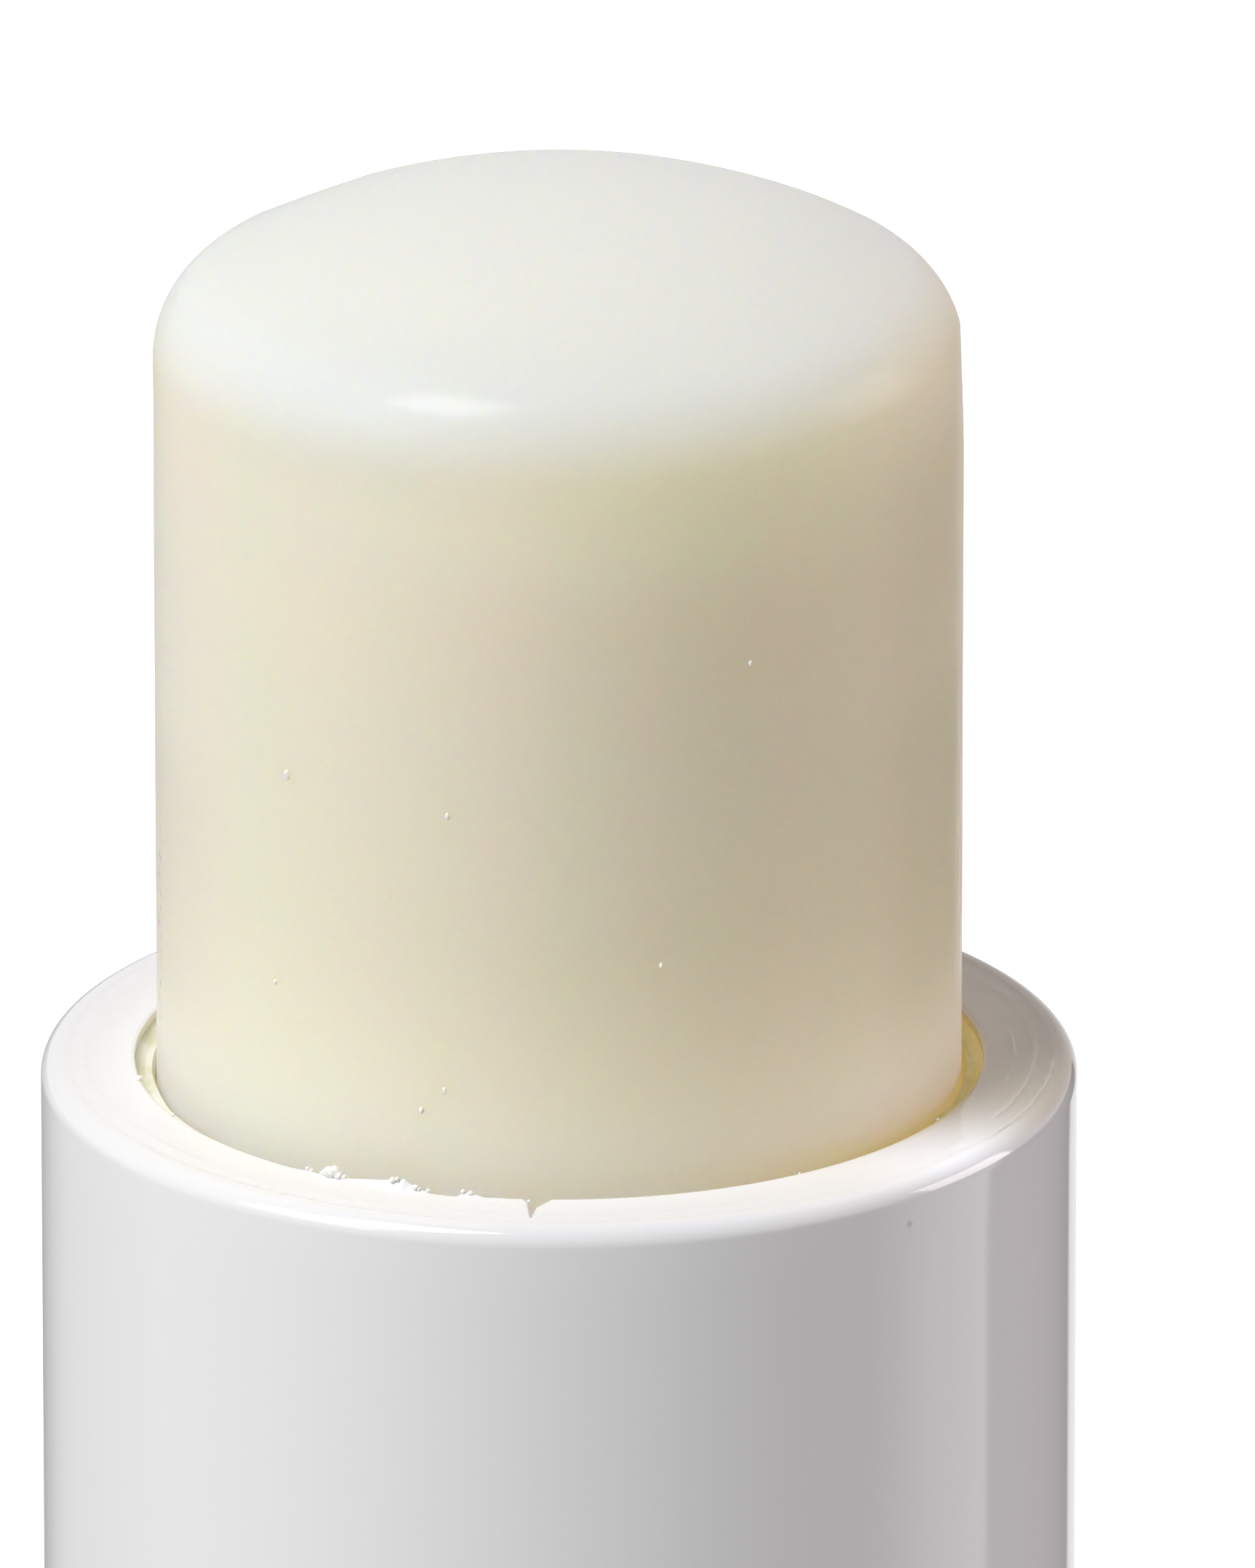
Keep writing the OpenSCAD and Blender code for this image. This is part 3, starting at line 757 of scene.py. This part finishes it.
class BulletSizes(bpy.types.PropertyGroup):
    warm_tint: FloatVectorProperty(
        name="Warm Tint", description="Warmer of the two tints in the balm", subtype="COLOR",
        size=3, min=0, max=1, default=(0.85, 0.79, 0.67))
    green_tint: FloatVectorProperty(
        name="Cool Tint", description="Cooler of the two tints in the balm", subtype="COLOR",
        size=3, min=0, max=1, default=(0.82, 0.80, 0.66))
    # Painted light: the paler colour of the dome stands for its lit top
    lit_top_colour: FloatVectorProperty(
        name="Tip Colour", description="Colour of the paler dome", subtype="COLOR",
        size=3, min=0, max=1, default=(0.76, 0.78, 0.745))
    near_glow: FloatVectorProperty(
        name="Near Glow", description="Light inside the balm, close to the rim", subtype="COLOR",
        size=3, min=0, max=1, default=(0.085, 0.08, 0.07))
    far_glow: FloatVectorProperty(
        name="Far Glow", description="Light inside the balm, further up", subtype="COLOR",
        size=3, min=0, max=1, default=(0.045, 0.022, 0))
    # Painted highlight: the paler colour stands for the glint along the torn right edge
    torn_highlight_colour: FloatVectorProperty(
        name="Torn Colour", description="Colour of the torn patch at the right edge", subtype="COLOR",
        size=3, min=0, max=1, default=(0.92, 0.88, 0.8))
    rubbed_colour: FloatVectorProperty(
        name="Rubbed Colour", description="Colour of the grain where the skin rubbed the bore",
        subtype="COLOR", size=3, min=0, max=1, default=(0.5, 0.52, 0.38))
    scatter_tint: FloatVectorProperty(
        name="Scatter Tint", description="How far red, green and blue light travel in the balm",
        size=3, min=0, max=1, default=(1.0, 0.6, 0.15))
    scatter: FloatProperty(
        name="Scatter", description="Depth that light reaches in the balm, in millimetres",
        default=6.5, min=0.1, max=20)
    roughness: FloatProperty(
        name="Roughness", description="Roughness of the balm's skin", default=0.6, min=0, max=1,
        subtype="FACTOR")
    skin_depth: FloatProperty(
        name="Skin Depth", description="Depth of the skin's unevenness, in millimetres",
        default=0.03, min=0, max=0.2)
    columns: IntProperty(
        name="Columns", description="Sides of the turned bullet", default=240, min=48, max=480)


class BarrelSizes(bpy.types.PropertyGroup):
    colour: FloatVectorProperty(
        name="Colour", description="Colour of the barrel's plastic", subtype="COLOR",
        size=3, min=0, max=1, default=(0.88, 0.872, 0.88))
    shade: FloatVectorProperty(
        name="Flow Shade", description="Faint second tint where the plastic flowed", subtype="COLOR",
        size=3, min=0, max=1, default=(0.865, 0.862, 0.866))
    residue_colour: FloatVectorProperty(
        name="Residue Colour", description="Colour of the balm film down the bore", subtype="COLOR",
        size=3, min=0, max=1, default=(0.92, 0.84, 0.55))
    edge_colour: FloatVectorProperty(
        name="Edge Colour", description="Colour of the rim beside the bore", subtype="COLOR",
        size=3, min=0, max=1, default=(0.9, 0.895, 0.895))
    # Painted light: golden light through the balm at the bore's right edge
    through_light_colour: FloatVectorProperty(
        name="Stain Colour", description="Colour of the bore's edge at the right", subtype="COLOR",
        size=3, min=0, max=1, default=(0.84, 0.7, 0.42))
    # Painted shadow: the balm's shadow on the rim's right, drawn brownish
    balm_shadow_colour: FloatVectorProperty(
        name="Smear Colour", description="Colour of the rim where balm was wiped over it", subtype="COLOR",
        size=3, min=0, max=1, default=(0.7, 0.62, 0.52))
    residue_pale: FloatVectorProperty(
        name="Residue Pale", description="Colour of the smeared balm in the gap", subtype="COLOR",
        size=3, min=0, max=1, default=(0.73, 0.74, 0.67))
    # Painted light: golden light through the balm, drawn into the residue's colour on the right
    residue_lit_through: FloatVectorProperty(
        name="Residue Golden", description="Colour of the smeared balm where it is thick", subtype="COLOR",
        size=3, min=0, max=1, default=(0.67, 0.56, 0.25))
    glow_pale: FloatVectorProperty(
        name="Glow Pale", description="Light that crosses the bullet into the gap", subtype="COLOR",
        size=3, min=0, max=1, default=(0.02, 0.02, 0.01))
    glow_golden: FloatVectorProperty(
        name="Glow Golden", description="Light that crosses the bullet to its thick side", subtype="COLOR",
        size=3, min=0, max=1, default=(0.13, 0.105, 0.03))
    roughness: FloatProperty(
        name="Roughness", description="Roughness of the barrel's plastic", default=0.1, min=0, max=1,
        subtype="FACTOR")


class MechanismSizes(bpy.types.PropertyGroup):
    wheel_colour: FloatVectorProperty(
        name="Wheel Colour", description="Colour of the thumb wheel's plastic", subtype="COLOR",
        size=3, min=0, max=1, default=(0.87, 0.865, 0.87))
    wheel_roughness: FloatProperty(
        name="Wheel Roughness", description="Roughness of the thumb wheel", default=0.22, min=0, max=1,
        subtype="FACTOR")
    cup_colour: FloatVectorProperty(
        name="Cup Colour", description="Colour of the cup's undyed plastic", subtype="COLOR",
        size=3, min=0, max=1, default=(0.8, 0.8, 0.77))
    cup_roughness: FloatProperty(
        name="Cup Roughness", description="Roughness of the cup", default=0.35, min=0, max=1,
        subtype="FACTOR")


class StudioSizes(bpy.types.PropertyGroup):
    lens: FloatProperty(
        name="Lens", description="Focal length of the camera, in millimetres",
        default=675, min=50, max=1000)
    ambient: FloatProperty(
        name="Ambient", description="Level of the light from all round", default=0.03, min=0, max=2)
    key_level: FloatProperty(
        name="Key Level", description="Level of the high soft light at the front left",
        default=0.82, min=0, max=3)
    side_level: FloatProperty(
        name="Side Level", description="Level of the lower soft light at the left",
        default=0.27, min=0, max=3)
    fill_level: FloatProperty(
        name="Fill Level", description="Level of the fill at the right", default=0.385, min=0, max=3)
    floor_glow: FloatProperty(
        name="Floor Glow", description="White that the camera sees added to the lit floor",
        default=0.7, min=0, max=1)
    floor_size: FloatProperty(
        name="Floor Size", description="Side of the square floor", default=8, min=1, max=20, unit="LENGTH")


class BALMSTICK_OT_bullet(bpy.types.Operator):
    """Turns the domed balm bullet, with its tail, screw hole and skin"""
    bl_idname = "balmstick.bullet"
    bl_label = "Balm Bullet"

    def execute(self, context):
        sizes = context.scene.balmstick_bullet
        wax = wax_material(sizes)
        bullet = lathe("balm_bullet", bullet_outline(), even_angles(sizes.columns), wax, bullet_shaper())
        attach(bullet, "bullet")
        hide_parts("balm")
        return {"FINISHED"}


class BALMSTICK_OT_barrel(bpy.types.Operator):
    """Turns the barrel, with its neck, cap bead, keyways and worn rim"""
    bl_idname = "balmstick.barrel"
    bl_label = "Barrel"

    def execute(self, context):
        material = barrel_material(context.scene.balmstick_barrel)
        tube = lathe("barrel_tube", barrel_outline(), barrel_angles(), material, barrel_shape, closed=True)
        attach(tube, "barrel")
        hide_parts("barrel")
        return {"FINISHED"}


class BALMSTICK_OT_residue(bpy.types.Operator):
    """Smears balm in the gap between the bullet and the bore"""
    bl_idname = "balmstick.residue"
    bl_label = "Residue in the Gap"

    def execute(self, context):
        material = residue_material(context.scene.balmstick_barrel)
        ring = lathe("bore_residue", residue_outline(), even_angles(360), material, residue_shape,
                     closed=True)
        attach(ring, "barrel")
        return {"FINISHED"}


class BALMSTICK_OT_crumbs(bpy.types.Operator):
    """Scatters crumbs of balm on the bore's edge and flakes on the bullet's side"""
    bl_idname = "balmstick.crumbs"
    bl_label = "Crumbs and Flakes"

    def execute(self, context):
        wax = crumb_material(context.scene.balmstick_bullet)
        for name, body, rows, radius, flat in (
                ("rim_crumbs", "barrel", EDGE_CRUMBS, BORE_R + 0.03, 0.9),
                ("balm_flakes", "bullet", SIDE_FLAKES, BALM_R - 0.01, 1.6)):
            work = bmesh.new()
            for seed, (angle, up, size) in enumerate(rows):
                lump(work, polar(radius, angle, RIM_Z + up), size, seed, flat)
            mesh = bpy.data.meshes.new(name)
            work.to_mesh(mesh)
            work.free()
            piece = settled(name, mesh, wax, 60)
            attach(piece, body)
        return {"FINISHED"}


class BALMSTICK_OT_mechanism(bpy.types.Operator):
    """Gives the thumb wheel and the elevator cup their plastics"""
    bl_idname = "balmstick.mechanism"
    bl_label = "Wheel and Cup"

    def execute(self, context):
        sizes = context.scene.balmstick_mechanism
        dimmer = [0.97 * part for part in sizes.wheel_colour]
        wheel = plastic_material("Wheel plastic", sizes.wheel_colour, dimmer, sizes.wheel_roughness, 0.15)
        milky = [0.96 * part for part in sizes.cup_colour]
        cup = plastic_material("Cup plastic", sizes.cup_colour, milky, sizes.cup_roughness, 0.1)
        for node, material in (("screw_wheel", wheel), ("elevator_cup", cup)):
            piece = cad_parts[node]
            piece.data.materials.clear()
            piece.data.materials.append(material)
        return {"FINISHED"}


def soft_light(name, angle, lift, size, tint, level):
    """A rectangular light that faces the stick's rim. level 1 alone renders white as white."""
    lamp = bpy.data.lights.new(name, "AREA")
    lamp.shape = "RECTANGLE"
    lamp.size, lamp.size_y = size
    lamp.energy = level * math.pi ** 2 * LIGHT_DISTANCE ** 2
    lamp.color = tint
    piece = link(bpy.data.objects.new(name, lamp))
    target = Vector((0, 0, RIM_Z * MM))
    way = polar(math.cos(math.radians(lift)), angle, math.sin(math.radians(lift))) / MM
    piece.location = target + way * LIGHT_DISTANCE
    piece.rotation_mode = "QUATERNION"
    piece.rotation_quaternion = way.to_track_quat("Z", "Y")
    piece.visible_camera = False
    return piece


# Brightness of the surroundings that the gloss mirrors: angle round the stick, then level
TENT_LEVELS = [(-180, 1), (-176, 1), (-175, 0.3), (-155, 0.35), (-140, 0.6), (-118, 0.65), (-101.5, 0.8),
               (-100.5, 1), (20, 1), (52, 0.1), (70, 0.1), (88, 1.4), (107.6, 1.5), (108.4, 0), (155, 0),
               (156, 1), (180, 1)]


def tent_material():
    """Glow whose level follows the angle round the stick."""
    material = bpy.data.materials.new("Reflection tent")
    material.use_nodes = True
    tree = material.node_tree
    tree.nodes.clear()
    place = round_place(tree)
    ramp = add(tree, "ShaderNodeValToRGB", {"Fac": rise_straight(tree, place["Angle"], -180, 180)})
    stops = ramp.color_ramp.elements
    for i, (angle, level) in enumerate(TENT_LEVELS):
        stop = stops[i] if i < 2 else stops.new(1)
        stop.position = (angle + 180) / 360
        stop.color = (level / 2, level / 2, level / 2, 1)
    glow = add(tree, "ShaderNodeEmission", {"Color": ramp.outputs["Color"], "Strength": 2})
    add(tree, "ShaderNodeOutputMaterial", {"Surface": glow.outputs[0]})
    material.cycles.emission_sampling = "NONE"
    return material


def reflection_tent(name, radius, low, high):
    """A round wall that only reflections see, with dark and pale stretches."""
    mesh = bpy.data.meshes.new(name)
    count = 180
    points = [polar(radius, 360 * i / count, z) for z in (low, high) for i in range(count)]
    mesh.from_pydata(points, [], [
        (i, (i + 1) % count, count + (i + 1) % count, count + i) for i in range(count)])
    mesh.materials.append(tent_material())
    tent = link(bpy.data.objects.new(name, mesh))
    for ray in ("visible_camera", "visible_diffuse", "visible_transmission", "visible_shadow"):
        setattr(tent, ray, False)
    return tent


def seen_rays(tree):
    """1 for the rays of the camera, of reflections and of clear refraction."""
    path = add(tree, "ShaderNodeLightPath")
    mirror = calc(tree, "MAXIMUM", path.outputs["Is Glossy Ray"], path.outputs["Is Transmission Ray"])
    return calc(tree, "MAXIMUM", path.outputs["Is Camera Ray"], mirror)


def floor_material(glow):
    """Pale floor that the camera sees as white where it is lit and grey in the shadow."""
    material, tree, shader = new_material("Studio floor")
    shader.inputs["Base Color"].default_value = (0.8, 0.8, 0.8, 1)
    shader.inputs["Roughness"].default_value = 0.9
    shader.inputs["Specular IOR Level"].default_value = 0
    # Away from the stick the floor runs out to the white of the surroundings
    far = rise(tree, round_place(tree)["Radius"], *FLOOR_FADE, glow, 1)
    tree.links.new(far, shader.inputs["Emission Color"])
    tree.links.new(seen_rays(tree), shader.inputs["Emission Strength"])
    material.cycles.emission_sampling = "NONE"
    return material


class BALMSTICK_OT_studio(bpy.types.Operator):
    """Sets the camera, the floor, the soft lights and the white surroundings"""
    bl_idname = "balmstick.studio"
    bl_label = "Studio"

    def execute(self, context):
        sizes = context.scene.balmstick_studio
        self.set_camera(context, sizes)
        half = sizes.floor_size / 2
        mesh = bpy.data.meshes.new("studio_floor")
        corners = [(-half, -half, 0), (half, -half, 0), (half, half, 0), (-half, half, 0)]
        mesh.from_pydata(corners, [], [(0, 1, 2, 3)])
        mesh.materials.append(floor_material(sizes.floor_glow))
        link(bpy.data.objects.new("studio_floor", mesh))
        levels = (sizes.key_level, sizes.side_level, sizes.fill_level)
        for row, level in zip(SOFT_LIGHTS, levels):
            soft_light(*row, level)
        reflection_tent("reflection_tent", *TENT)
        self.set_world(context, sizes)
        context.scene.view_settings.view_transform = "Standard"
        return {"FINISHED"}

    def set_camera(self, context, sizes):
        lens = bpy.data.cameras.new("camera")
        lens.lens = sizes.lens
        lens.sensor_width = 36
        lens.clip_start, lens.clip_end = 0.05, 20
        camera = link(bpy.data.objects.new("camera", lens))
        tilt = math.radians(CAMERA_TILT)
        back = Vector((0, -math.cos(tilt), math.sin(tilt)))
        camera.location = (CAMERA_TARGET + back * CAMERA_DISTANCE) * MM
        camera.rotation_mode = "QUATERNION"
        camera.rotation_quaternion = (-back).to_track_quat("-Z", "Y")
        context.scene.camera = camera

    def set_world(self, context, sizes):
        world = bpy.data.worlds.new("studio_world")
        world.use_nodes = True
        tree = world.node_tree
        tree.nodes.clear()
        level = calc(tree, "ADD", sizes.ambient, calc(tree, "MULTIPLY", seen_rays(tree), 1 - sizes.ambient))
        glow = add(tree, "ShaderNodeBackground", {"Color": (1, 1, 1, 1), "Strength": level})
        add(tree, "ShaderNodeOutputWorld", {"Surface": glow.outputs[0]})
        context.scene.world = world


class BALMSTICK_PT_panel(bpy.types.Panel):
    """Lists the stick's pieces and their sizes and colours"""
    bl_idname = "BALMSTICK_PT_panel"
    bl_label = "Lip Balm Stick"
    bl_space_type = "VIEW_3D"
    bl_region_type = "UI"
    bl_category = "Balm Stick"

    def draw(self, context):
        for group, operators in SECTIONS:
            box = self.layout.box()
            sizes = getattr(context.scene, group)
            for name in sizes.__annotations__:
                box.prop(sizes, name)
            for operator in operators:
                box.operator(operator)


SECTIONS = [
    ("balmstick_bullet", ["balmstick.bullet", "balmstick.crumbs"]),
    ("balmstick_barrel", ["balmstick.barrel", "balmstick.residue"]),
    ("balmstick_mechanism", ["balmstick.mechanism"]),
    ("balmstick_studio", ["balmstick.studio"]),
]
GROUPS = {
    "balmstick_bullet": BulletSizes,
    "balmstick_barrel": BarrelSizes,
    "balmstick_mechanism": MechanismSizes,
    "balmstick_studio": StudioSizes,
}
CLASSES = [*GROUPS.values(), BALMSTICK_OT_bullet, BALMSTICK_OT_barrel, BALMSTICK_OT_residue,
           BALMSTICK_OT_crumbs, BALMSTICK_OT_mechanism, BALMSTICK_OT_studio, BALMSTICK_PT_panel]


def register():
    for made in CLASSES:
        bpy.utils.register_class(made)
    for name, group in GROUPS.items():
        setattr(bpy.types.Scene, name, PointerProperty(type=group))


def unregister():
    for name in GROUPS:
        delattr(bpy.types.Scene, name)
    for made in reversed(CLASSES):
        bpy.utils.unregister_class(made)


def main():
    register()
    bpy.ops.balmstick.studio()
    bpy.ops.balmstick.barrel()
    bpy.ops.balmstick.residue()
    bpy.ops.balmstick.mechanism()
    bpy.ops.balmstick.bullet()
    bpy.ops.balmstick.crumbs()


if __name__ == "__main__":
    main()
